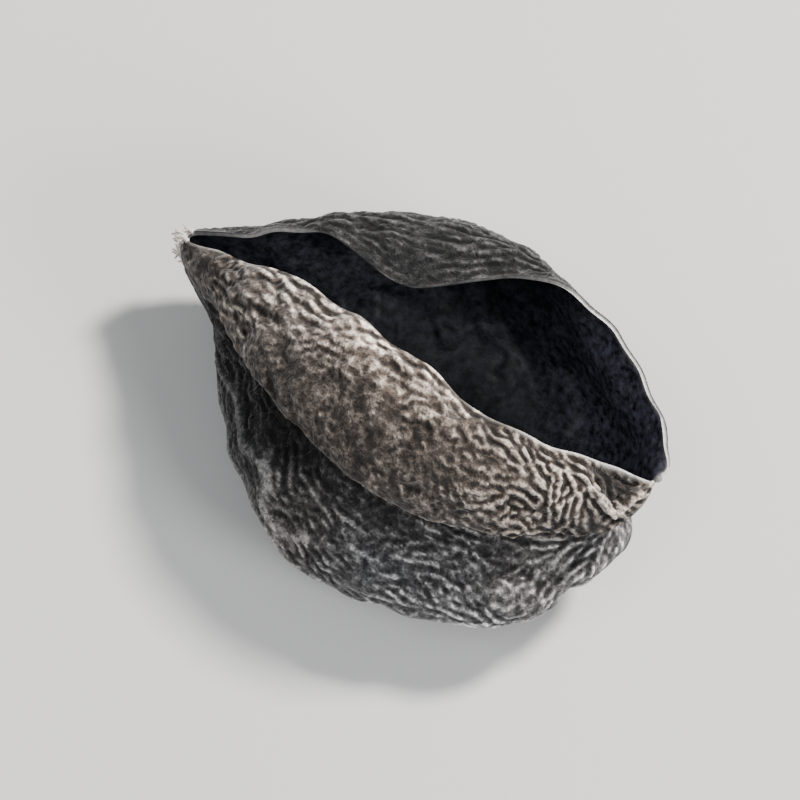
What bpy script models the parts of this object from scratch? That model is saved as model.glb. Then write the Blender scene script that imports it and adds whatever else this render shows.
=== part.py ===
"""A dried wood ear mushroom: one curled ear of leathery flesh, felted outside and smooth inside.

The ear is a single sheet of flesh. It starts at the pinched attachment, widens into a pouch and closes again at
a blunt tip. It is drawn as long lines that run from the attachment to the tip, one beside the other, from the near
edge of the mouth, over the near roll, down the belly, under the keel and up to the far edge of the mouth.

Frame: +X runs from the attachment to the tip, +Z is up, and Z = 0 is the surface that the ear lies on. The origin is
the centre of the bounding box's bottom.
"""

import bmesh
import bpy
from mathutils import Matrix, Vector

MM = 0.001
NAME = "wood_ear"

FLESH_MM = 1.15
RIM_SHARE = 0.45
SMOOTHING_LEVELS = 2

FELT_COLOUR = (0.125, 0.108, 0.095, 1.0)
FELT_ROUGHNESS = 0.9

# Each line is (x, y, z) in millimetres at eight stations, from the attachment to the tip.
LINES = {
    "near_rim": (
        (0.4, -0.7, 6.6), (4.4, -0.4, 8.9), (9.4, -0.5, 11.2), (14.0, -1.4, 13.1),
        (19.6, -2.6, 14.1), (25.4, -3.6, 13.4), (31.0, -2.1, 11.7), (34.9, -1.1, 10.3),
    ),
    "near_crest": (
        (0.0, -1.2, 6.1), (4.1, -1.8, 9.4), (9.0, -2.8, 12.3), (13.5, -4.4, 14.6),
        (19.4, -5.8, 15.6), (25.6, -6.2, 15.0), (31.3, -4.6, 12.9), (34.9, -2.4, 10.4),
    ),
    "near_side": (
        (-0.2, -1.5, 5.0), (4.1, -3.4, 7.2), (8.9, -6.7, 9.7), (13.2, -9.6, 11.1),
        (19.4, -10.6, 11.4), (25.8, -10.2, 10.7), (31.2, -7.8, 9.8), (34.7, -4.6, 9.2),
    ),
    "crease": (
        (-0.1, -1.1, 3.9), (4.3, -2.5, 5.0), (9.7, -3.8, 6.6), (14.2, -5.4, 7.5),
        (19.8, -6.2, 8.0), (26.0, -6.0, 7.6), (31.2, -4.6, 7.2), (33.2, -3.0, 7.4),
    ),
    "belly_shoulder": (
        (0.0, -0.9, 3.5), (4.7, -4.0, 4.2), (9.6, -7.8, 5.6), (14.8, -12.0, 6.8),
        (20.4, -13.6, 7.4), (26.6, -12.8, 7.0), (32.4, -9.6, 6.2), (35.7, -5.8, 6.2),
    ),
    "belly_side": (
        (0.2, -0.6, 3.2), (4.8, -4.2, 2.9), (8.8, -10.2, 3.4), (14.0, -16.0, 3.6),
        (20.2, -17.6, 3.6), (26.6, -15.8, 3.8), (32.4, -11.2, 4.0), (35.6, -5.6, 4.6),
    ),
    "bilge": (
        (0.4, -0.1, 3.1), (4.9, -2.5, 1.5), (9.6, -6.9, 0.1), (14.4, -11.6, -0.9),
        (20.0, -13.0, -0.9), (26.2, -11.8, -0.9), (31.6, -7.6, 0.2), (34.6, -2.4, 3.8),
    ),
    "keel": (
        (0.5, 0.4, 3.4), (5.0, 0.0, 1.3), (9.8, -1.0, -0.6), (14.6, -2.4, -0.9),
        (20.0, -3.0, -0.9), (26.0, -2.6, -0.9), (31.0, -1.4, 0.2), (34.2, 0.0, 4.2),
    ),
    "far_bilge": (
        (0.6, 0.8, 4.0), (5.0, 2.2, 2.5), (9.8, 4.2, 0.6), (14.8, 5.4, -0.7),
        (20.2, 5.6, -0.9), (25.6, 4.6, -0.7), (30.6, 3.2, 1.2), (34.3, 1.0, 5.4),
    ),
    "far_side": (
        (0.6, 1.1, 5.0), (4.8, 3.3, 5.2), (9.8, 6.9, 5.0), (14.8, 9.2, 4.6),
        (20.4, 9.8, 4.4), (25.4, 8.0, 4.9), (30.0, 5.0, 6.0), (34.5, 1.2, 7.4),
    ),
    "far_crest": (
        (0.5, 1.0, 5.9), (4.6, 2.9, 7.4), (9.6, 6.2, 9.7), (14.6, 9.3, 11.0),
        (20.4, 10.0, 9.7), (25.5, 7.3, 8.9), (30.2, 4.6, 8.7), (34.7, 1.0, 9.2),
    ),
    "far_rim": (
        (0.5, 0.4, 6.5), (4.4, 1.6, 7.8), (9.4, 4.8, 9.8), (14.9, 1.5, 8.7),
        (20.6, 8.0, 10.3), (26.2, 7.4, 10.7), (31.1, 5.2, 10.9), (36.3, 0.3, 11.1),
    ),
}
STATIONS = 8

# How crisp a fold is, from 0 to 1: the roll's overhanging lower edge, and the ridge at the tip.
ROLL_EDGE = "near_side"
ROLL_EDGE_CREASE = 0.55
TIP_RIDGE_CREASE = 0.8


def clear_scene():
    for obj in list(bpy.data.objects):
        bpy.data.objects.remove(obj, do_unlink=True)


def felt_material():
    material = bpy.data.materials.new("felt")
    material.use_nodes = True
    shader = material.node_tree.nodes["Principled BSDF"]
    shader.inputs["Base Color"].default_value = FELT_COLOUR
    shader.inputs["Roughness"].default_value = FELT_ROUGHNESS
    shader.inputs["Metallic"].default_value = 0.0
    return material


def ear_cage():
    """The coarse cage of the outside: the lines' quads, and a row of quads across the sheet at each end."""
    cage = bmesh.new()
    lines = [[cage.verts.new(Vector(point) * MM) for point in line] for line in LINES.values()]
    for line, beside in zip(lines, lines[1:]):
        for k in range(STATIONS - 1):
            cage.faces.new((line[k], beside[k], beside[k + 1], line[k + 1]))
    last = len(lines) - 1
    for i in range(len(lines) // 2 - 1):
        ring = (lines[i], lines[i + 1], lines[last - i - 1], lines[last - i])
        cage.faces.new([line[-1] for line in ring])
        cage.faces.new([line[0] for line in reversed(ring)])
    sharpness = cage.edges.layers.float.new("crease_edge")
    edge_line = list(LINES).index(ROLL_EDGE)
    for k in range(1, STATIONS - 1):
        cage.edges.get((lines[edge_line][k], lines[edge_line][k + 1]))[sharpness] = ROLL_EDGE_CREASE
    for i in range(edge_line):
        cage.edges.get((lines[i][-1], lines[i + 1][-1]))[sharpness] = TIP_RIDGE_CREASE
    mesh = bpy.data.meshes.new(NAME)
    cage.to_mesh(mesh)
    cage.free()
    return mesh


def body_weights(obj):
    """Full thickness in the middle of the sheet, and the rim's share of it at the edges and at the attachment."""
    body = obj.vertex_groups.new(name="body")
    rows = len(LINES)
    for i in range(rows):
        for k in range(STATIONS):
            inside = 0 < i < rows - 1 and 0 < k
            weight = 1.0 if inside and k < STATIONS - 1 else 0.5 if inside else 0.0
            body.add([i * STATIONS + k], weight, "REPLACE")
    return body


def ear(collection):
    obj = bpy.data.objects.new(NAME, ear_cage())
    collection.objects.link(obj)
    obj.data.materials.append(felt_material())
    body = body_weights(obj)

    smooth = obj.modifiers.new("smooth", "SUBSURF")
    smooth.levels = SMOOTHING_LEVELS
    smooth.render_levels = SMOOTHING_LEVELS

    flesh = obj.modifiers.new("flesh", "SOLIDIFY")
    flesh.thickness = FLESH_MM * MM
    flesh.offset = -1.0
    flesh.vertex_group = body.name
    flesh.thickness_vertex_group = RIM_SHARE
    return obj


def stand_on_the_ground(obj):
    """Moves the ear so that its bounding box stands on Z = 0, centred over the origin."""
    shaped = obj.evaluated_get(bpy.context.evaluated_depsgraph_get()).to_mesh()
    low = Vector([min(v.co[axis] for v in shaped.vertices) for axis in range(3)])
    high = Vector([max(v.co[axis] for v in shaped.vertices) for axis in range(3)])
    base = Vector(((low.x + high.x) / 2, (low.y + high.y) / 2, low.z))
    obj.data.transform(Matrix.Translation(-base))


def main():
    clear_scene()
    collection = bpy.data.collections.new("wood_ear_mushroom")
    bpy.context.scene.collection.children.link(collection)
    stand_on_the_ground(ear(collection))


main()
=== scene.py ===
"""The looks of a dried wood ear mushroom: wrinkled grey-brown felt outside, blue-black inside, with a pale rim.

The ear is one curled sheet. Its coarse cage is the same as the solid's. Here it is subdivided finely, creased
with long soft folds and the felt's fine wrinkles, and given a thickness with a rounded rim.

A place on the sheet is (s, t). s runs across it, from 0 at the near rim to 1 at the far rim. t runs along it,
from 0 at the attachment to 1 at the tip. Lengths are in millimetres until a mesh is made.
"""

import math

import bpy
import numpy as np
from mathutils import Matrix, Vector
from mathutils.bvhtree import BVHTree


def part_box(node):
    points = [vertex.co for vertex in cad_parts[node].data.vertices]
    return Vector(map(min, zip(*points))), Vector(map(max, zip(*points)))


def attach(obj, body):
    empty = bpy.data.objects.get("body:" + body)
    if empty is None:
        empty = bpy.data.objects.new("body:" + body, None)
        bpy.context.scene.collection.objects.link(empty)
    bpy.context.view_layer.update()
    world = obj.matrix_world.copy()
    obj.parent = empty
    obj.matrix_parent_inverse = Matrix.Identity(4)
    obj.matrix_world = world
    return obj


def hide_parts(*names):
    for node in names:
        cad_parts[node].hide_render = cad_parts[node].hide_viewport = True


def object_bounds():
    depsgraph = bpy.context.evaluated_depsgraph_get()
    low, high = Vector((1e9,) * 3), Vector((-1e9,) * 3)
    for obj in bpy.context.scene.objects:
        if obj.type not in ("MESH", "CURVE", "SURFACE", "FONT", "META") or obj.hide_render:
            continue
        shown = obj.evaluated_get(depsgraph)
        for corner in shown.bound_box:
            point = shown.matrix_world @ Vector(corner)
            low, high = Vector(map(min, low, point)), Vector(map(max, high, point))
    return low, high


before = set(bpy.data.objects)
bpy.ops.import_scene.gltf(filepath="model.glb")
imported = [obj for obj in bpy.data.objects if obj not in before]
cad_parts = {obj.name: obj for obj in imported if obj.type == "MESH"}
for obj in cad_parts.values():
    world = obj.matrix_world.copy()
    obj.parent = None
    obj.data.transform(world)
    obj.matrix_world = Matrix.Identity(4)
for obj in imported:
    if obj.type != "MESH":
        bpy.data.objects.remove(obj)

MM = 0.001
TAU = 2.0 * math.pi
CAD_BOX = [list(corner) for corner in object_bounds()]
SUBDIVISIONS = 5
SOLID_SUBDIVISIONS = 2

# Each line is (x, y, z) in millimetres at eight stations, from the attachment to the tip.
LINES = (
    # near rim
    ((0.4, -0.7, 6.6), (4.4, -0.4, 8.9), (9.4, -0.5, 11.2), (14.0, -1.4, 13.1),
     (19.6, -2.6, 14.1), (25.4, -3.6, 13.4), (31.0, -2.1, 11.7), (34.9, -1.1, 10.3)),
    # near crest
    ((0.0, -1.2, 6.1), (4.1, -1.8, 9.4), (9.0, -2.8, 12.3), (13.5, -4.4, 14.6),
     (19.4, -5.8, 15.6), (25.6, -6.2, 15.0), (31.3, -4.6, 12.9), (34.9, -2.4, 10.4)),
    # near side
    ((-0.2, -1.5, 5.0), (4.1, -3.4, 7.2), (8.9, -6.7, 9.7), (13.2, -9.6, 11.1),
     (19.4, -10.6, 11.4), (25.8, -10.2, 10.7), (31.2, -7.8, 9.8), (34.7, -4.6, 9.2)),
    # crease
    ((-0.1, -1.1, 3.9), (4.3, -2.5, 5.0), (9.7, -3.8, 6.6), (14.2, -5.4, 7.5),
     (19.8, -6.2, 8.0), (26.0, -6.0, 7.6), (31.2, -4.6, 7.2), (33.2, -3.0, 7.4)),
    # belly shoulder
    ((0.0, -0.9, 3.5), (4.7, -4.0, 4.2), (9.6, -7.8, 5.6), (14.8, -12.0, 6.8),
     (20.4, -13.6, 7.4), (26.6, -12.8, 7.0), (32.4, -9.6, 6.2), (35.7, -5.8, 6.2)),
    # belly side
    ((0.2, -0.6, 3.2), (4.8, -4.2, 2.9), (8.8, -10.2, 3.4), (14.0, -16.0, 3.6),
     (20.2, -17.6, 3.6), (26.6, -15.8, 3.8), (32.4, -11.2, 4.0), (35.6, -5.6, 4.6)),
    # bilge
    ((0.4, -0.1, 3.1), (4.9, -2.5, 1.5), (9.6, -6.9, 0.1), (14.4, -11.6, -0.9),
     (20.0, -13.0, -0.9), (26.2, -11.8, -0.9), (31.6, -7.6, 0.2), (34.6, -2.4, 3.8)),
    # keel
    ((0.5, 0.4, 3.4), (5.0, 0.0, 1.3), (9.8, -1.0, -0.6), (14.6, -2.4, -0.9),
     (20.0, -3.0, -0.9), (26.0, -2.6, -0.9), (31.0, -1.4, 0.2), (34.2, 0.0, 4.2)),
    # far bilge
    ((0.6, 0.8, 4.0), (5.0, 2.2, 2.5), (9.8, 4.2, 0.6), (14.8, 5.4, -0.7),
     (20.2, 5.6, -0.9), (25.6, 4.6, -0.7), (30.6, 3.2, 1.2), (34.3, 1.0, 5.4)),
    # far side
    ((0.6, 1.1, 5.0), (4.8, 3.3, 5.2), (9.8, 6.9, 5.0), (14.8, 9.2, 4.6),
     (20.4, 9.8, 4.4), (25.4, 8.0, 4.9), (30.0, 5.0, 6.0), (34.5, 1.2, 7.4)),
    # far crest
    ((0.5, 1.0, 5.9), (4.6, 2.9, 7.4), (9.6, 6.2, 9.7), (14.6, 9.3, 11.0),
     (20.4, 10.0, 9.7), (25.5, 7.3, 8.9), (30.2, 4.6, 8.7), (34.7, 1.0, 9.2)),
    # far rim
    ((0.5, 0.4, 6.5), (4.4, 1.6, 7.8), (9.4, 4.8, 9.8), (14.9, 1.5, 8.7),
     (20.6, 8.0, 10.3), (26.2, 7.4, 10.7), (31.1, 5.2, 10.9), (36.3, 0.3, 11.1)),
)
ROWS = len(LINES)
STATIONS = len(LINES[0])

# How crisp a fold is, from 0 to 1: the near roll's overhanging lower edge, and the ridge at the tip.
ROLL_EDGE = 2
ROLL_EDGE_CREASE = 0.55
TIP_RIDGE_CREASE = 0.8

# The flesh: its thickness in the middle and at the rim, and how far from the rim it is full. Where the sheet
# folds back on itself, the flesh takes up shares of the room behind it, and where a fold is still too tight, it is
# thinned in rounds. A furrow is no deeper than its share of the flesh.
FLESH_MM = 1.1
RIM_MM = 0.30
RIM_BODY_MM = 3.2
ROOM_SHARE = 0.36
MOST_ROOM_SHARE = 0.45
FURROW_SHARE = 0.35
TIGHT_SHARE = 0.45
THINNING = 0.65
THINNING_ROUNDS = 9
ROOM_SEEN_MM = 8.0
LEAST_HEIGHT_MM = 0.02

# How often normals are averaged before the folds, and before the relief, follow them.
FOLD_ROUNDS = 60
RELIEF_ROUNDS = 6

# Soft folds and dents, waves of the margin, and ripples of the inside: (wavelength, seed) and a height.
LONG_FOLD, LONG_FOLD_MM = (9.0, 3), 0.30
SHORT_FOLD, SHORT_FOLD_MM = (4.2, 4), 0.16
MARGIN_WAVE, MARGIN_WAVE_MM = (3.6, 5), 0.12
LONG_RIPPLE, LONG_RIPPLE_MM = (2.6, 31), 0.10
SHORT_RIPPLE, SHORT_RIPPLE_MM = (1.2, 32), 0.05

# The rumpled band along the near rim: its width, and how far down the roll it starts at the attachment's end.
MARGIN_WIDTH_MM = 3.0
MARGIN_DROP_MM = 2.2

# The random fields that steer the wrinkles and the tones: (wavelength, seed).
SWIRL = (7.0, 11)
COARSE_SWIRL = (8.0, 12)
ROUGH_PATCHES = (3.4, 13)
RIDGE_SPECKS = (1.3, 14)
WARM_PATCHES = (10.0, 15)
PALE_RIM_HIGHLIGHT_PATCHES = (3.0, 16)
LIGHT_PATCHES = (5.0, 17)
STRAND_DRIFT = (5.0, 18)
STRAND_WOBBLE = (1.8, 19)
RIM_PATCHES = (4.0, 33)

# Two long ridges on the belly's outer edge: s and width of each.
OUTER_RIDGE = (0.455, 0.012)
INNER_RIDGE = (0.408, 0.011)
LONG_RIDGE_MM = 0.30

# Near the tip, a fold with two arms meets at a corner, given as (s, t), with a small hollow between the arms.
TIP_FOLD_START = (0.075, 0.893)
TIP_FOLD_CORNER = (0.135, 0.962)
TIP_FOLD_END = (0.020, 1.000)
TIP_SCALE_MM = 28.0
ARM_WIDTH_MM = 0.18
ARM_MM = 0.30
HOLLOW_MM = 0.75
CORNER_MM = 1.3
CORNER_ROUNDS = 40

# The furrow under the near rim: its distance from the rim, its width and its depth.
FURROW_FROM_RIM_MM = 0.56
FURROW_WIDTH_MM = 0.20
FURROW_MM = 0.18

# Wrinkles are patches of parallel ridges. These are in wavelengths: a patch's width and length, how far it is
# felt, and how far apart patches are. A patch's own wavelength strays between the last two shares of it.
PATCH_WIDTH = 0.62
PATCH_LENGTH = 1.3
PATCH_REACH = 2.1
PATCH_SPACING = 0.46
PATCH_WAVELENGTH = (0.82, 1.18)
FINE_SEED = 21
COARSE_SEED = 22
COARSE_MM = 1.7
COARSE_SPREAD = 0.5
COARSE_LENGTH = 0.9
STRAND_MM = 1.15
MEAN_CRISP = 0.36
MIDDLE = 0.5

# What the wrinkles and the tones are made of. Each starts from "all", and each region adds its share.
WAVELENGTH_MM = {"all": 0.62, "roll_tip": 0.03, "margin_start": 0.14}
FINE_HEIGHT_MM = {"all": 0.24, "plain": -0.08}
COARSE_HEIGHT_MM = {"all": 0.12, "margin_start": 0.20}
CONTRAST = {"all": 1.05, "belly": -0.34, "plain": -0.45, "margin": 0.30, "margin_tip": 0.40, "lapel": 0.30,
            "painted_highlight_patch": 0.45, "roll_tip": 0.20, "belly_start": -0.16}
# LIGHT is painted light and shade that multiplies the felt's colour: painted key light on the rumpled band, the
# belly and the tip's end, a painted highlight on a belly patch, and painted shade on the far wall's edge, the
# belly's start and the roll's end and corner.
LIGHT = {"all": 0.78, "lit_margin": 2.4, "roll_tip": 0.30, "lit_belly": 0.80, "lapel": -0.56,
         "belly_start": -0.56, "roll_end": -0.14, "roll_corner": -0.50, "painted_highlight_patch": 0.35}
ROUGH_RANGE = (0.2, 1.35)
MOST_ROUGH_RELIEF = 1.4
LIGHT_RANGE = (0.15, 3.0)
GROUND = 0.42

# Base colours, by height from furrow to crest, and by noise on the inside, the rim and the scar.
# The felt's colour runs from dark in the furrows to pale on the crests: partly the felt's own colour, partly
# painted shade in the furrows and painted highlight on the crests.
BROWN_FELT = (
    (0.05, (0.0085, 0.0060, 0.0045)), (0.30, (0.026, 0.0195, 0.0155)), (0.52, (0.064, 0.0505, 0.0415)),
    (0.72, (0.155, 0.128, 0.107)), (0.92, (0.360, 0.308, 0.262)),
)
GREY_FELT = (
    (0.05, (0.0075, 0.0075, 0.0080)), (0.30, (0.021, 0.0208, 0.0214)), (0.52, (0.050, 0.0495, 0.0505)),
    (0.72, (0.118, 0.117, 0.117)), (0.92, (0.290, 0.286, 0.282)),
)
# The rim's paler felt colour, which also carries a painted highlight where the rim catches the light.
PALE_RIM_FELT_AND_HIGHLIGHT = (0.78, 0.745, 0.70)
INSIDE_BLACK = ((0.38, (0.0012, 0.0013, 0.0020)), (0.66, (0.042, 0.044, 0.060)))
PALE_RIM = ((0.3, (0.42, 0.40, 0.37)), (0.7, (0.82, 0.79, 0.75)))
SCAR_FIBRE = ((0.3, (0.50, 0.44, 0.37)), (0.7, (0.88, 0.84, 0.77)))
FLOOR = (0.66, 0.655, 0.645, 1.0)

# The torn fibres at the attachment.
SCAR_SEED = 41
FIBRES = 70
FIBRE_SIDES = 5
FIBRE_STEPS = 3
FIBRE_LENGTH_MM = (0.20, 0.80)
FIBRE_WIDTH_MM = (0.10, 0.24)
FIBRE_ROOT_MM = 0.15
FIBRE_BEND = 0.25
FIBRE_TAPER = 0.75
BROKEN_END = 0.012

# The rounding of the rim: its steps, and how dark each step is on the far side, from the outer edge on.
RIM_STEPS = 5
FAR_RIM_DARKNESS = (0.95, 0.75, 0.25, 0.0, 0.0)
RIM_TURN_ROUNDS = 12

CAMERA_AZIMUTH = math.radians(29.3)
CAMERA_ELEVATION = math.radians(72.0)
CAMERA_DISTANCE = 0.255
CAMERA_LENS = 180.0
CAMERA_CLIP = 0.01
FLOOR_REACH = 1.5

# The lights: where each is, in shares of the picture's right, its top and toward the camera, then metres to the
# ear, metres across, watts and colour.
LIGHTS = {
    "key": ((0.55, 0.60, 0.56), 0.45, 0.08, 4.2, (1.0, 0.965, 0.92)),
    "side": ((0.72, -0.35, 0.60), 0.50, 0.20, 1.9, (0.97, 0.98, 1.0)),
    "fill": ((-0.30, 0.15, 0.93), 0.55, 0.30, 0.8, (0.95, 0.97, 1.0)),
}
STUDIO_COLOUR = (0.95, 0.97, 1.0, 1.0)
STUDIO_STRENGTH = 0.34


# ---------------------------------------------------------------- small helpers

def smoothstep(low, high, x):
    t = np.clip((x - low) / (high - low), 0.0, 1.0)
    return t * t * (3.0 - 2.0 * t)


def between(low, high, share):
    return low + (high - low) * share


def ridge_at(centre, width, x):
    return np.exp(-((x - centre) / width) ** 2)


def unit(vectors):
    return vectors / (np.linalg.norm(vectors, axis=1)[:, None] + 1e-12)


def waves(points, wavelength, seed, count=40, size=0.7):
    """Smooth random field, about -1 to 1, whose features are about half a wavelength across."""
    rng = np.random.default_rng(seed)
    directions = unit(rng.normal(size=(count, 3)))
    numbers = TAU / wavelength * rng.uniform(0.6, 1.4, count)
    phases = rng.uniform(0.0, TAU, count)
    total = np.zeros(len(points))
    for direction, number, phase in zip(directions, numbers, phases):
        total += np.cos(points @ direction * number + phase)
    return total / math.sqrt(count / 2.0) * size


# ---------------------------------------------------------------- the sheet

def cage_faces():
    faces = []
    for i in range(ROWS - 1):
        for k in range(STATIONS - 1):
            a, b = i * STATIONS + k, (i + 1) * STATIONS + k
            faces.append((a, b, b + 1, a + 1))
    for i in range(ROWS // 2 - 1):
        ring = (i, i + 1, ROWS - 2 - i, ROWS - 1 - i)
        faces.append([r * STATIONS + STATIONS - 1 for r in ring])
        faces.append([r * STATIONS for r in reversed(ring)])
    return faces


def cage_creases(mesh):
    """Marks the two crisp folds on the cage's edges."""
    layer = mesh.attributes.new("crease_edge", "FLOAT", "EDGE")
    for edge in mesh.edges:
        (row, station), (other_row, other_station) = sorted(divmod(v, STATIONS) for v in edge.vertices)
        if row == other_row == ROLL_EDGE and min(station, other_station) >= 1:
            layer.data[edge.index].value = ROLL_EDGE_CREASE
        if other_row == row + 1 <= ROLL_EDGE and station == other_station == STATIONS - 1:
            layer.data[edge.index].value = TIP_RIDGE_CREASE


def subdivided(points, levels):
    """(points, quads) of the subdivided cage."""
    mesh = bpy.data.meshes.new("cage")
    mesh.from_pydata([tuple(p) for p in points], [], cage_faces())
    cage_creases(mesh)
    obj = bpy.data.objects.new("cage", mesh)
    bpy.context.scene.collection.objects.link(obj)
    smooth = obj.modifiers.new("smooth", "SUBSURF")
    smooth.levels = levels
    smooth.render_levels = levels
    shaped = obj.evaluated_get(bpy.context.evaluated_depsgraph_get()).to_mesh()
    co = np.empty(len(shaped.vertices) * 3)
    shaped.vertices.foreach_get("co", co)
    quads = np.empty(len(shaped.polygons) * 4, int)
    shaped.loops.foreach_get("vertex_index", quads)
    bpy.data.objects.remove(obj)
    bpy.data.meshes.remove(mesh)
    return co.reshape(-1, 3), quads.reshape(-1, 4)


def normals_of(points, quads):
    a, b, c, d = (points[quads[:, j]] for j in range(4))
    face = np.cross(c - a, d - b)
    total = np.zeros_like(points)
    for j in range(4):
        np.add.at(total, quads[:, j], face)
    return unit(total)


def areas_of(points, quads):
    a, b, c, d = (points[quads[:, j]] for j in range(4))
    face = 0.5 * np.linalg.norm(np.cross(c - a, d - b), axis=1)
    total = np.zeros(len(points))
    for j in range(4):
        np.add.at(total, quads[:, j], face / 4.0)
    return total


def gradient_of(values, points, quads):
    """Unit direction along the sheet in which values grows, at each point."""
    total = np.zeros_like(points)
    for tri in (quads[:, [0, 1, 2]], quads[:, [0, 2, 3]]):
        a, b, c = (points[tri[:, j]] for j in range(3))
        normal = np.cross(b - a, c - a)
        va, vb, vc = (values[tri[:, j]] for j in range(3))
        grad = (va[:, None] * np.cross(normal, c - b) + vb[:, None] * np.cross(normal, a - c)
                + vc[:, None] * np.cross(normal, b - a))
        grad /= (normal * normal).sum(1)[:, None] + 1e-18
        grad *= np.linalg.norm(normal, axis=1)[:, None]
        for j in range(3):
            np.add.at(total, tri[:, j], grad)
    return unit(total)


def rim_loop(quads):
    """The sheet's boundary points, in order."""
    ends = np.concatenate([quads[:, [j, (j + 1) % 4]] for j in range(4)])
    keys = ends.min(1) * (ends.max() + 1) + ends.max(1)
    _, first, counts = np.unique(keys, return_index=True, return_counts=True)
    after = {int(a): int(b) for a, b in ends[first[counts == 1]]}
    start = min(after)
    loop = [start]
    while after[loop[-1]] != start:
        loop.append(after[loop[-1]])
    return np.array(loop)


def distance_to(points, others):
    nearest = np.empty(len(points))
    block = 4000
    for start in range(0, len(points), block):
        part = points[start:start + block]
        squares = ((part[:, None, :] - others[None, :, :]) ** 2).sum(2)
        nearest[start:start + block] = np.sqrt(squares.min(1))
    return nearest


class Cells:
    """Finds the points near a place."""

    def __init__(self, points, size):
        self.points, self.size = points, size
        keys = np.floor(points / size).astype(int)
        order = np.lexsort(keys.T)
        keys = keys[order]
        starts = np.flatnonzero(np.r_[True, (np.diff(keys, axis=0) != 0).any(1)])
        ends = np.r_[starts[1:], len(keys)]
        self.cells = {tuple(keys[s]): order[s:e] for s, e in zip(starts, ends)}

    def near(self, place):
        x, y, z = np.floor(place / self.size).astype(int)
        found = [self.cells[key] for dx in (-1, 0, 1) for dy in (-1, 0, 1) for dz in (-1, 0, 1)
                 if (key := (x + dx, y + dy, z + dz)) in self.cells]
        found = np.concatenate(found)
        return found[((self.points[found] - place) ** 2).sum(1) < self.size ** 2]


def wrinkles(points, normals, areas, across, turn, wavelength, spread, seed, length=PATCH_LENGTH):
    """Ridges from 0, in a furrow, to 1, on a crest, a wavelength apart.

    across and turn say which way the ridges of a patch follow each other: turn is the angle from across, in
    radians, and spread is how far it strays. A patch reaches length wavelengths along its ridges.
    """
    rng = np.random.default_rng(seed)
    middle = float(wavelength.mean())
    wide, long = PATCH_WIDTH * middle, length * middle
    cells = Cells(points, PATCH_REACH * max(wide, long))
    count = int(areas.sum() / (PATCH_SPACING * middle) ** 2)
    centres = rng.choice(len(points), count, p=areas / areas.sum())
    field = np.zeros(len(points), complex)
    along = np.cross(normals, across)
    for centre in centres:
        near = cells.near(points[centre])
        offset = points[near] - points[centre]
        angle = turn[centre] + rng.normal() * spread[centre]
        direction = math.cos(angle) * across[centre] + math.sin(angle) * along[centre]
        number = TAU / wavelength[centre] * rng.uniform(*PATCH_WAVELENGTH)
        facing = np.clip(normals[near] @ normals[centre], 0.0, 1.0) ** 2
        u = offset @ direction
        weight = np.exp(-0.5 * ((u / wide) ** 2 + ((offset ** 2).sum(1) - u * u) / long ** 2)) * facing
        field[near] += weight * np.exp(1j * (u * number + rng.uniform(0.0, TAU)))
    size = np.abs(field)
    strength = smoothstep(0.0, 0.9, size / size.mean())
    return MIDDLE + MIDDLE * np.cos(np.angle(field)) * strength


def smoothed(values, quads, rounds):
    """Values averaged with those next to them, over and over."""
    ends = np.concatenate([quads[:, [j, (j + 1) % 4]] for j in range(4)])
    counts = np.bincount(ends.ravel(), minlength=len(values))
    for _ in range(rounds):
        total = np.bincount(ends[:, 0], values[ends[:, 1]], len(values))
        total += np.bincount(ends[:, 1], values[ends[:, 0]], len(values))
        values = 0.5 * values + 0.5 * total / counts
    return values


def smoothed_vectors(vectors, quads, rounds):
    return unit(np.stack([smoothed(vectors[:, j], quads, rounds) for j in range(3)], axis=1))


def depth_under(tree, places):
    """How deep each place is behind the outer surface that is nearest to it: negative in front of it."""
    depth = np.empty(len(places))
    for n, place in enumerate(places):
        where = Vector(place)
        nearest, normal, _, distance = tree.find_nearest(where)
        depth[n] = distance if (where - nearest).dot(normal) < 0.0 else -distance
    return depth


def room_behind(points, normals, quads, most):
    """How far it is, straight in from each point, to the sheet's other side, up to most."""
    tree = BVHTree.FromPolygons(points.tolist(), quads.tolist())
    start = 0.05
    room = np.full(len(points), most)
    for n, (point, normal) in enumerate(zip(points, normals)):
        inward = Vector(-normal)
        place, _, _, distance = tree.ray_cast(Vector(point) + inward * start, inward, most)
        if place is not None:
            room[n] = distance + start
    return room


# ---------------------------------------------------------------- materials

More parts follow.
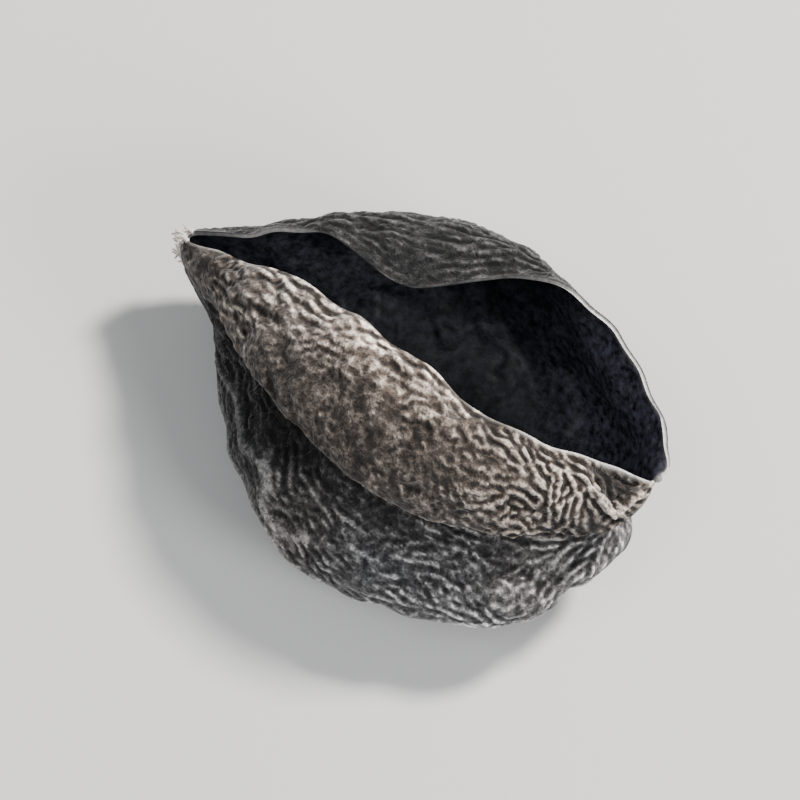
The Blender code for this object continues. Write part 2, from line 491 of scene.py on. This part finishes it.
class Nodes:
    """Builds a Principled material's node tree."""

    def __init__(self, name):
        self.material = bpy.data.materials.new(name)
        self.material.use_nodes = True
        self.tree = self.material.node_tree
        self.shader = self.tree.nodes["Principled BSDF"]

    def add(self, kind, **settings):
        node = self.tree.nodes.new(kind)
        for key, value in settings.items():
            setattr(node, key, value)
        return node

    def link(self, source, target):
        self.tree.links.new(source, target)

    def attribute(self, name):
        return self.add("ShaderNodeAttribute", attribute_name=name).outputs["Fac"]

    def noise(self, size_mm, detail=3.0, roughness=0.55):
        where = self.add("ShaderNodeTexCoord").outputs["Object"]
        node = self.add("ShaderNodeTexNoise")
        self.link(where, node.inputs["Vector"])
        node.inputs["Scale"].default_value = 1.0 / (size_mm * MM)
        node.inputs["Detail"].default_value = detail
        node.inputs["Roughness"].default_value = roughness
        return node.outputs["Fac"]

    def ridged(self, size_mm):
        """Noise of thin branching ridges, from about 0 to 1.5."""
        where = self.add("ShaderNodeTexCoord").outputs["Object"]
        node = self.add("ShaderNodeTexNoise", noise_type="RIDGED_MULTIFRACTAL", normalize=False)
        self.link(where, node.inputs["Vector"])
        settings = {"Scale": 1.0 / (size_mm * MM), "Detail": 4.0, "Roughness": 0.6, "Lacunarity": 2.1,
                    "Offset": 0.9, "Gain": 1.6, "Distortion": 0.3}
        for name, setting in settings.items():
            node.inputs[name].default_value = setting
        return node.outputs["Fac"]

    def plus(self, first, second):
        node = self.add("ShaderNodeMath", operation="ADD", use_clamp=True)
        self.link(first, node.inputs[0])
        self.link(second, node.inputs[1])
        return node.outputs[0]

    def ramp(self, value, stops):
        node = self.add("ShaderNodeValToRGB")
        elements = node.color_ramp.elements
        while len(elements) < len(stops):
            elements.new(0.5)
        for element, (place, colour) in zip(elements, stops):
            element.position = place
            element.color = (*colour, 1.0)
        self.link(value, node.inputs["Fac"])
        return node.outputs["Color"]

    def number(self, value, low, high, to_low, to_high):
        """Maps low to high onto to_low to to_high."""
        node = self.add("ShaderNodeMapRange")
        self.link(value, node.inputs["Value"])
        for name, setting in (("From Min", low), ("From Max", high), ("To Min", to_low), ("To Max", to_high)):
            node.inputs[name].default_value = setting
        return node.outputs["Result"]

    def mix(self, factor, first, second):
        """The first colour where factor is 0, and the second, which may be a plain colour, where it is 1."""
        node = self.add("ShaderNodeMix", data_type="RGBA")
        factor_socket, first_socket, second_socket = (node.inputs[n] for n in (0, 6, 7))
        self.link(factor, factor_socket)
        self.link(first, first_socket)
        if isinstance(second, tuple):
            second_socket.default_value = (*second, 1.0)
        else:
            self.link(second, second_socket)
        return node.outputs[2]

    def scaled(self, colour, factor):
        node = self.add("ShaderNodeVectorMath", operation="SCALE")
        self.link(colour, node.inputs[0])
        self.link(factor, node.inputs["Scale"])
        return node.outputs[0]

    def bump(self, height, distance_mm, normal=None):
        node = self.add("ShaderNodeBump")
        node.inputs["Strength"].default_value = 1.0
        node.inputs["Distance"].default_value = distance_mm * MM
        self.link(height, node.inputs["Height"])
        if normal is not None:
            self.link(normal, node.inputs["Normal"])
        return node.outputs["Normal"]


def felt_material():
    nodes = Nodes("felt")
    crinkle = nodes.number(nodes.ridged(0.95), 0.2, 1.3, -0.14, 0.20)
    height = nodes.plus(nodes.attribute("ridge"), crinkle)
    colour = nodes.mix(nodes.attribute("warm"), nodes.ramp(height, GREY_FELT), nodes.ramp(height, BROWN_FELT))
    # Painted light and shade: the colour is multiplied by the light attribute.
    colour = nodes.scaled(colour, nodes.attribute("light"))
    mottling = nodes.number(nodes.noise(2.4, 4.0), 0.3, 0.7, 0.78, 1.22)
    grain = nodes.number(nodes.noise(0.30, 3.0, 0.8), 0.36, 0.66, 0.30, 1.80)
    colour = nodes.scaled(nodes.scaled(colour, mottling), grain)
    # The rim's paler colour, with a painted highlight on it, is mixed in at the very rim.
    colour = nodes.mix(nodes.attribute("pale_rim_and_highlight"), colour, PALE_RIM_FELT_AND_HIGHLIGHT)
    nodes.link(colour, nodes.shader.inputs["Base Color"])
    nodes.shader.inputs["Roughness"].default_value = 0.88
    nodes.shader.inputs["Specular IOR Level"].default_value = 0.25
    nodes.shader.inputs["Sheen Weight"].default_value = 0.25
    nodes.shader.inputs["Sheen Roughness"].default_value = 0.45
    nap = nodes.bump(nodes.noise(0.20, 3.0, 0.7), 0.09, nodes.bump(crinkle, 0.30))
    nodes.link(nap, nodes.shader.inputs["Normal"])
    return nodes.material


def inside_material():
    nodes = Nodes("smooth_inside")
    # The inside's colour is multiplied by painted light, which is strongest towards the tip.
    dark = nodes.scaled(nodes.ramp(nodes.noise(0.55, 4.0, 0.7), INSIDE_BLACK), nodes.attribute("painted_light_inside"))
    rim = nodes.ramp(nodes.noise(0.35), PALE_RIM)
    nodes.link(nodes.mix(nodes.attribute("edge"), dark, rim), nodes.shader.inputs["Base Color"])
    dents = nodes.noise(0.9)
    nodes.link(nodes.number(dents, 0.3, 0.7, 0.42, 0.62), nodes.shader.inputs["Roughness"])
    nodes.shader.inputs["Specular IOR Level"].default_value = 0.35
    grain = nodes.bump(nodes.noise(0.2, 2.0), 0.012, nodes.bump(dents, 0.05))
    nodes.link(grain, nodes.shader.inputs["Normal"])
    return nodes.material


def scar_material():
    nodes = Nodes("torn_fibres")
    nodes.link(nodes.ramp(nodes.noise(0.25), SCAR_FIBRE), nodes.shader.inputs["Base Color"])
    nodes.shader.inputs["Roughness"].default_value = 0.85
    return nodes.material


def floor_material():
    nodes = Nodes("floor")
    nodes.shader.inputs["Base Color"].default_value = FLOOR
    nodes.shader.inputs["Roughness"].default_value = 0.8
    return nodes.material


# ---------------------------------------------------------------- pieces

def piece(name, points_mm, faces, material, attributes=None):
    mesh = bpy.data.meshes.new(name)
    mesh.from_pydata((points_mm * MM).tolist(), [], [tuple(int(v) for v in f) for f in faces])
    mesh.shade_smooth()
    for key, values in (attributes or {}).items():
        layer = mesh.attributes.new(key, "FLOAT", "POINT")
        layer.data.foreach_set("value", values.astype(np.float32))
    mesh.materials.append(material)
    obj = bpy.data.objects.new(name, mesh)
    bpy.context.scene.collection.objects.link(obj)
    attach(obj, "root")
    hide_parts("wood_ear")


def sheet():
    """The bare sheet: its points in the row frame, its quads, and s and t at each point."""
    cage = np.array(LINES, float).reshape(-1, 3)
    points, quads = subdivided(cage, SUBDIVISIONS)
    coarse, _ = subdivided(cage, SOLID_SUBDIVISIONS)
    low, high = (np.array(corner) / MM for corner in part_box("wood_ear"))
    cage_low, cage_high = coarse.min(0), coarse.max(0)
    base = np.array([(cage_low[0] + cage_high[0]) / 2, (cage_low[1] + cage_high[1]) / 2, cage_low[2]])
    middle = np.array([(low[0] + high[0]) / 2, (low[1] + high[1]) / 2, low[2]])
    points += middle - base
    steps = [(i / (ROWS - 1), k / (STATIONS - 1), 0.0) for i in range(ROWS) for k in range(STATIONS)]
    places, _ = subdivided(np.array(steps), SUBDIVISIONS)
    return points, quads, places[:, 0], places[:, 1]


class Regions:
    """How far each point belongs to each region of the sheet, mostly from 0 to 1."""

    def __init__(self, s, t, from_rim):
        # The near roll, the belly under it, the far wall's edge, and the tip's end of the whole ear.
        self.roll = smoothstep(0.30, 0.20, s)
        self.belly = smoothstep(0.26, 0.34, s)
        self.lapel = smoothstep(0.80, 0.92, s)
        self.tip_end = smoothstep(0.60, 0.84, t)
        # The rumpled band along the near rim. It starts lower down the roll at the attachment's end.
        band = np.maximum(from_rim - MARGIN_DROP_MM * smoothstep(0.42, 0.16, t), 0.0)
        self.margin = self.roll * np.exp(-(band / MARGIN_WIDTH_MM) ** 2) * smoothstep(0.06, 0.26, t)
        self.margin_start = self.margin * (1.0 - self.tip_end)
        self.margin_tip = self.margin * self.tip_end
        self.lit_margin = self.margin * smoothstep(0.12, 0.34, t) * between(1.0, 0.18, smoothstep(0.50, 0.72, t))
        # The rest of the roll.
        self.plain = self.roll * (1.0 - self.margin) * (1.0 - self.tip_end)
        self.roll_tip = self.roll * self.tip_end
        self.roll_end = self.roll * smoothstep(0.62, 0.74, t)
        self.roll_corner = self.roll * smoothstep(0.86, 0.93, t)
        self.belly_start = self.belly * (1.0 - self.lapel) * smoothstep(0.48, 0.25, t)
        self.lit_belly = self.belly * smoothstep(0.80, 0.62, s) * smoothstep(0.30, 0.72, t)
        # A painted highlight on the belly's lower part towards the tip.
        self.painted_highlight_patch = self.belly * ridge_at(0.47, 0.10, s) * ridge_at(0.80, 0.16, t)
        # Painted shade in the pocket under the roll, and painted shade that runs on from it under the roll's edge.
        under_edge = ridge_at(0.325, 0.028, s) * smoothstep(0.86, 0.62, t) * smoothstep(0.12, 0.25, t)
        self.painted_pocket_shade = 0.75 * ridge_at(0.34, 0.055, s) * ridge_at(0.28, 0.14, t) + 0.50 * under_edge
        # The small lit face at the very tip.
        self.facet = smoothstep(0.955, 0.985, t) * smoothstep(0.05, 0.02, s)

        self.all = np.ones(len(s))

    def blend(self, shares):
        """The sum of the shares, each where its region is."""
        return sum(share * getattr(self, name) for name, share in shares.items())


def from_line(s, t, start, end):
    """Distances in millimetres, near the tip: to the piece of line, and to the left of the whole line."""
    step = np.array(end) - np.array(start)
    size = float(np.hypot(*step))
    step = step / size
    ds, dt = s - start[0], t - start[1]
    onward = np.clip(ds * step[0] + dt * step[1], 0.0, size)
    distance = np.hypot(ds - onward * step[0], dt - onward * step[1])
    return TIP_SCALE_MM * distance, TIP_SCALE_MM * (dt * step[0] - ds * step[1])


def tip_fold(s, t, from_rim):
    """The two arms of the tip's fold, and the triangular hollow between them, from 0 to 1."""
    left_arm, left_inside = from_line(s, t, TIP_FOLD_START, TIP_FOLD_CORNER)
    right_arm, right_inside = from_line(s, t, TIP_FOLD_CORNER, TIP_FOLD_END)
    arms = np.maximum(ridge_at(0.0, ARM_WIDTH_MM, left_arm), ridge_at(0.0, ARM_WIDTH_MM, right_arm))
    hollow = smoothstep(0.05, 0.65, left_inside) * smoothstep(0.05, 0.65, right_inside)
    hollow *= smoothstep(0.0, 0.5, from_rim) * smoothstep(0.86, 0.90, t)
    return arms, hollow


def belly_ridges(s, t, swirl):
    reach = smoothstep(0.10, 0.22, t) * smoothstep(0.62, 0.40, t)
    place, width = INNER_RIDGE
    return reach * (ridge_at(*OUTER_RIDGE, s) + 0.8 * ridge_at(place + 0.02 * swirl, width, s))


def soft_folds(points, from_rim):
    """Long soft folds and dents of the whole sheet, and waves of its margin. They fade where it rests."""
    fold = LONG_FOLD_MM * waves(points, *LONG_FOLD) * (1.0 - 0.75 * np.exp(-from_rim / 2.5))
    fold += SHORT_FOLD_MM * waves(points, *SHORT_FOLD)
    fold += MARGIN_WAVE_MM * waves(points, *MARGIN_WAVE) * np.exp(-from_rim / 1.6)
    return fold * between(0.25, 1.0, smoothstep(0.3, 3.0, points[:, 2]))


def rounded_at_the_corner(points, quads, s, t):
    """The far rim turns round the tip in an arc."""
    corner = points[np.argmax(s + t)]
    near = np.exp(-(np.linalg.norm(points - corner, axis=1) / CORNER_MM) ** 2)
    even = np.stack([smoothed(points[:, axis], quads, CORNER_ROUNDS) for axis in range(3)], axis=1)
    return points + (even - points) * near[:, None]


def felt_wrinkles(points, quads, normals, region, s, from_rim, swirl):
    """Crisp fine wrinkles and coarse rumples, each from about 0 to 1."""
    areas = areas_of(points, quads)
    across = gradient_of(s, points, quads)
    across = unit(across - normals * (across * normals).sum(1)[:, None])
    roll, margin, tip_end = region.roll, region.margin, region.tip_end
    belly, lapel = region.belly, region.lapel

    turn = roll * (1.2 * swirl * (1.0 - margin) - 0.75 * tip_end) + 0.45 * belly * swirl * (1.0 - lapel)
    spread = roll * (0.8 - 0.50 * margin - 0.22 * tip_end * (1.0 - margin)) + belly * (0.30 - 0.14 * lapel)
    fine = wrinkles(points, normals, areas, across, turn, region.blend(WAVELENGTH_MM), spread, FINE_SEED)
    coarse_turn = 0.4 * waves(points, *COARSE_SWIRL) - 0.7 * tip_end * roll
    coarse = wrinkles(points, normals, areas, across, coarse_turn, np.full(len(points), COARSE_MM),
                      np.full(len(points), COARSE_SPREAD), COARSE_SEED, COARSE_LENGTH)

    # In the rumpled band, long strands of ridges follow the rim.
    drift = from_rim + 0.5 * waves(points, *STRAND_DRIFT) + 0.18 * waves(points, *STRAND_WOBBLE)
    strands = MIDDLE + MIDDLE * np.cos(TAU / STRAND_MM * drift)
    strand_share = 0.55 * region.margin_start * smoothstep(0.3, 1.0, from_rim)
    fine = np.clip(between(fine, strands, strand_share), 0.0, 1.0)
    # Thin ridges with wide troughs, but in the rumpled band wide ridges with thin troughs.
    wide = margin * smoothstep(0.1, 0.7, from_rim)
    sharp = between(1.0 - np.sqrt(1.0 - fine), np.sqrt(fine), wide)
    return between(fine, sharp, 0.70) - 0.26 * wide, coarse


def felt_roughness(points, region):
    """How deep the wrinkles are: some patches are deeply wrinkled, and others are nearly smooth."""
    rough = np.clip(0.78 + (0.48 - 0.14 * region.belly) * waves(points, *ROUGH_PATCHES), *ROUGH_RANGE)
    return rough * (1.0 - 0.50 * region.plain) + 0.35 * region.margin + 0.35 * region.roll_tip


def felt_tones(points, region, crisp, coarse, rough, arms, long_ridge, hollow, furrow, from_rim):
    """The felt's attributes: ridge (furrow to crest, partly painted shade and highlight), warm (grey to brown),
    light (painted light and shade), and worn (the rim's paler colour with a painted highlight).
    """
    fold_lines = np.clip(long_ridge + arms, 0.0, 1.0)
    ridge = region.blend(CONTRAST) * (crisp - MEAN_CRISP) * rough + 0.14 * (coarse - MIDDLE)
    ridge *= (1.0 - fold_lines) * (1.0 - 0.8 * hollow)
    # Painted highlights: the fold lines and the tip's lit face are paler. Painted shade: the tip's hollow and the
    # furrow under the near rim are darker.
    ridge += GROUND + 0.06 * waves(points, *RIDGE_SPECKS) + 0.48 * fold_lines
    ridge += 0.35 * region.facet - 0.42 * hollow * (1.0 - region.facet) - 0.55 * furrow

    warm = 0.10 + 0.85 * region.roll + 0.14 * waves(points, *WARM_PATCHES)

    # Painted light and shade, multiplied into the felt's colour, with painted shade in the pocket under the roll.
    light = region.blend(LIGHT) * (1.0 - np.clip(region.painted_pocket_shade, 0.0, 0.8))
    light *= 1.0 + 0.14 * waves(points, *LIGHT_PATCHES)
    # Painted highlights along the belly's long ridges and the arms of the tip's fold.
    light += 0.35 * long_ridge + 1.1 * arms

    # The rim's own paler colour, with a painted highlight that is strongest at the tip's end, where the rim faces
    # the key light.
    pale_rim_and_highlight = np.clip(0.10 + 0.90 * region.tip_end + 0.3 * waves(points, *PALE_RIM_HIGHLIGHT_PATCHES), 0.0, 1.0)
    pale_rim_and_highlight *= np.exp(-(from_rim / 0.14) ** 2) * (1.0 - 0.8 * region.lapel)
    return {"ridge": np.clip(ridge, 0.0, 1.0), "warm": np.clip(warm, 0.0, 1.0), "pale_rim_and_highlight": pale_rim_and_highlight,
            "light": np.clip(light, *LIGHT_RANGE)}


def ear():
    points, quads, s, t = sheet()
    loop = rim_loop(quads)
    from_rim = distance_to(points, points[loop])
    region = Regions(s, t, from_rim)
    swirl = waves(points, *SWIRL)

    long_ridge = belly_ridges(s, t, swirl)
    arms, hollow = tip_fold(s, t, from_rim)
    fold = soft_folds(points, from_rim) + LONG_RIDGE_MM * long_ridge + ARM_MM * arms - HOLLOW_MM * hollow
    # Along a crisp fold the two sides move together, so that they don't cross.
    steady = smoothed_vectors(normals_of(points, quads), quads, FOLD_ROUNDS)
    points = rounded_at_the_corner(points, quads, s, t) + steady * fold[:, None]
    normals = normals_of(points, quads)
    steady = smoothed_vectors(normals, quads, RELIEF_ROUNDS)
    room = smoothed(room_behind(points, steady, quads, ROOM_SEEN_MM), quads, RELIEF_ROUNDS)

    crisp, coarse = felt_wrinkles(points, quads, normals, region, s, from_rim, swirl)
    rough = felt_roughness(points, region)
    furrow = ridge_at(FURROW_FROM_RIM_MM, FURROW_WIDTH_MM, from_rim) * (1.0 - hollow)
    furrow *= smoothstep(0.10, 0.06, s) * smoothstep(0.56, 0.70, t)

    relief = region.blend(FINE_HEIGHT_MM) * np.minimum(rough, MOST_ROUGH_RELIEF) * (crisp - MEAN_CRISP)
    relief += region.blend(COARSE_HEIGHT_MM) * (coarse - MIDDLE)
    relief *= between(0.1, 1.0, smoothstep(0.0, 0.9, from_rim))
    relief *= 1.0 - 0.7 * np.clip(long_ridge + arms, 0.0, 1.0)
    relief -= FURROW_MM * furrow
    # It fades where the ear rests, where the sheet has no room behind it, and at both ends.
    relief *= between(0.4, 1.0, smoothstep(0.0, 1.2, points[:, 2])) * smoothstep(0.3, 1.6, room)
    relief *= smoothstep(0.0, 0.06, t) * between(0.25, 1.0, smoothstep(1.0, 0.95, t))

    thick = flesh_thickness(quads, from_rim, t, room)
    outside = points + steady * np.maximum(relief, -FURROW_SHARE * thick)[:, None]
    thick = thinned(points, steady, outside, quads, thick)
    # No furrow is deeper than its share of the flesh.
    outside = points + steady * np.maximum(relief, -FURROW_SHARE * thick)[:, None]
    outside[:, 2] = np.maximum(outside[:, 2], LEAST_HEIGHT_MM)

    tones = felt_tones(points, region, crisp, coarse, rough, arms, long_ridge, hollow, furrow, from_rim)
    piece("felt_outside", outside, quads, felt_material(), tones)
    inside_of_the_ear(points - steady * thick[:, None], steady, outside, quads, loop, from_rim, s, t)
    attachment_scar(outside, t)


def flesh_thickness(quads, from_rim, t, room):
    """Thin at the rim, at the attachment and at the tip, and thinner where the sheet folds back on itself."""
    body = smoothstep(0.0, RIM_BODY_MM, from_rim)
    ends = smoothstep(0.0, 0.10, t) * between(0.55, 1.0, smoothstep(1.0, 0.90, t))
    rim = RIM_MM * (1.0 - 0.3 * smoothstep(0.95, 1.0, t))
    thick = rim + (FLESH_MM - rim) * body * ends
    return np.minimum(smoothed(np.minimum(thick, ROOM_SHARE * room), quads, 12), MOST_ROOM_SHARE * room)


def thinned(points, normals, outside, quads, thick):
    """The thickness, made less, step by step, wherever the inner surface would come through a fold."""
    outer_tree = BVHTree.FromPolygons(outside.tolist(), quads.tolist())
    watched = np.ones(len(points), bool)
    for _ in range(THINNING_ROUNDS):
        inner = points - normals * thick[:, None]
        tight = np.zeros(len(points), bool)
        tight[watched] = depth_under(outer_tree, inner[watched]) < TIGHT_SHARE * thick[watched]
        thick = smoothed(np.where(tight, THINNING * thick, thick), quads, 1)
        watched = smoothed(tight.astype(float), quads, 3) > 0.0
    return thick


def rim_rounding(outer_edge, inner_edge, normals, middle):
    """Rows of points of the half round that joins the outer edge to the inner one. It bulges away from middle."""
    tangent = unit(np.roll(outer_edge, -1, axis=0) - np.roll(outer_edge, 1, axis=0))
    out = unit(np.cross(tangent, normals))
    for _ in range(RIM_TURN_ROUNDS):
        out = unit(out + 0.5 * (np.roll(out, 1, axis=0) + np.roll(out, -1, axis=0)))
    if ((outer_edge - middle) * out).sum() < 0:
        out = -out
    centre, half = (outer_edge + inner_edge) / 2, (outer_edge - inner_edge) / 2
    depth = np.linalg.norm(half, axis=1)[:, None]
    rows = [outer_edge]
    for j in range(1, RIM_STEPS):
        angle = math.pi * j / RIM_STEPS
        rows.append(centre + math.cos(angle) * half + math.sin(angle) * depth * out)
    return rows


def inside_of_the_ear(inner, normals, outside, quads, loop, from_rim, s, t):
    """The inner surface and the rounded rim that joins it to the outside."""
    ripple = LONG_RIPPLE_MM * waves(inner, *LONG_RIPPLE) + SHORT_RIPPLE_MM * waves(inner, *SHORT_RIPPLE)
    inner = inner + normals * (np.minimum(ripple, 0.0) * smoothstep(0.5, RIM_BODY_MM, from_rim))[:, None]
    rows = rim_rounding(outside[loop], inner[loop], normals[loop], inner.mean(0))
    points = np.concatenate([inner, *rows])

    faces = [tuple(reversed([int(v) for v in quad])) for quad in quads]
    count, total = len(loop), len(inner)
    rings = [total + j * count + np.arange(count) for j in range(RIM_STEPS)] + [loop]
    for a, b in zip(rings, rings[1:]):
        for n in range(count):
            m = (n + 1) % count
            faces.append((a[m], a[n], b[n], b[m]))

    # On the far side the pale edge is a thin line: the outer part of the rounding stays dark.
    far = smoothstep(0.6, 0.9, s[loop])
    rounding = [1.0 - share * far for share in FAR_RIM_DARKNESS]
    edge = np.concatenate([0.75 * np.exp(-from_rim / 0.10), *rounding])
    # The edge is palest on the tip's half, where a painted highlight along the lit rim adds to its paler colour,
    # and a little pale on the far side near the attachment.
    along = np.concatenate([t, np.tile(t[loop], RIM_STEPS)])
    side = np.concatenate([s, np.tile(s[loop], RIM_STEPS)])
    far_start = smoothstep(0.7, 0.9, side) * ridge_at(0.2, 0.1, along)
    tone = 0.16 + 0.95 * smoothstep(0.56, 0.76, along) + 0.35 * far_start
    tone = np.clip(tone * (1.0 + 0.4 * waves(points, *RIM_PATCHES)), 0.05, 1.0)
    # Painted light: the inside is made much lighter towards the tip.
    painted_light_inside = between(0.70, 2.2, smoothstep(0.62, 0.86, along))
    piece("smooth_inside", points, faces, inside_material(), {"edge": edge * tone, "painted_light_inside": painted_light_inside})


def attachment_scar(outside, t):
    """The pale torn fibres where the ear broke off its branch."""
    rng = np.random.default_rng(SCAR_SEED)
    broken_end = np.flatnonzero(t < BROKEN_END)
    angles = [TAU * j / FIBRE_SIDES for j in range(FIBRE_SIDES)]
    points, faces = [], []
    for _ in range(FIBRES):
        root = outside[rng.choice(broken_end)]
        direction = unit(np.array([[-1.0, 0.0, 0.1]]) + 0.5 * rng.normal(size=(1, 3)))[0]
        side = unit(np.cross([direction], [rng.normal(size=3)]))[0]
        other = np.cross(direction, side)
        length, width = rng.uniform(*FIBRE_LENGTH_MM), rng.uniform(*FIBRE_WIDTH_MM)
        start = root - direction * FIBRE_ROOT_MM
        bend = FIBRE_BEND * rng.normal(size=3)
        base = len(points)
        for step in range(FIBRE_STEPS + 1):
            f = step / FIBRE_STEPS
            centre = start + direction * (length + FIBRE_ROOT_MM) * f + bend * f * f * length
            radius = width * (1.0 - FIBRE_TAPER * f)
            spokes = [math.cos(angle) * side + math.sin(angle) * other for angle in angles]
            points += [centre + radius * spoke for spoke in spokes]
        for ring in range(base, base + FIBRE_STEPS * FIBRE_SIDES, FIBRE_SIDES):
            for j in range(FIBRE_SIDES):
                a, b = ring + j, ring + (j + 1) % FIBRE_SIDES
                faces.append((a, b, b + FIBRE_SIDES, a + FIBRE_SIDES))
        faces.append(tuple(base + j for j in reversed(range(FIBRE_SIDES))))
        faces.append(tuple(base + FIBRE_STEPS * FIBRE_SIDES + j for j in range(FIBRE_SIDES)))
    piece("attachment_scar", np.array(points), faces, scar_material())


# ---------------------------------------------------------------- the stage

def view_axes():
    """Unit vectors to the picture's right, to its top and toward the camera."""
    level = math.cos(CAMERA_ELEVATION)
    toward = Vector((math.sin(CAMERA_AZIMUTH) * level, -math.cos(CAMERA_AZIMUTH) * level,
                     math.sin(CAMERA_ELEVATION)))
    right = Vector((math.cos(CAMERA_AZIMUTH), math.sin(CAMERA_AZIMUTH), 0.0))
    return right, toward.cross(right), toward


def add_aimed(name, data, target, offset):
    """Adds the object, offset from the target and pointing at it."""
    obj = bpy.data.objects.new(name, data)
    bpy.context.scene.collection.objects.link(obj)
    obj.location = target + offset
    obj.rotation_euler = (obj.location - target).to_track_quat("Z", "Y").to_euler()
    return obj


def camera(target, toward):
    data = bpy.data.cameras.new("camera")
    data.lens = CAMERA_LENS
    data.clip_start = CAMERA_CLIP
    bpy.context.scene.camera = add_aimed("camera", data, target, toward * CAMERA_DISTANCE)


def area_light(name, target, direction, distance, size, power, colour):
    data = bpy.data.lights.new(name, "AREA")
    data.shape = "DISK"
    data.size = size
    data.energy = power
    data.color = colour
    add_aimed(name, data, target, direction.normalized() * distance)


def stage():
    low, high = (Vector(corner) for corner in CAD_BOX)
    target = (low + high) / 2
    right, top, toward = view_axes()
    camera(target, toward)
    for name, ((to_right, to_top, to_camera), *light) in LIGHTS.items():
        area_light(name, target, right * to_right + top * to_top + toward * to_camera, *light)

    world = bpy.data.worlds.new("studio")
    world.use_nodes = True
    background = world.node_tree.nodes["Background"]
    background.inputs["Color"].default_value = STUDIO_COLOUR
    background.inputs["Strength"].default_value = STUDIO_STRENGTH
    bpy.context.scene.world = world

    corners = [(x * FLOOR_REACH, y * FLOOR_REACH, 0.0) for x, y in ((-1, -1), (1, -1), (1, 1), (-1, 1))]
    mesh = bpy.data.meshes.new("floor")
    mesh.from_pydata(corners, [], [(0, 1, 2, 3)])
    mesh.materials.append(floor_material())
    floor = bpy.data.objects.new("floor", mesh)
    bpy.context.scene.collection.objects.link(floor)


ear()
stage()
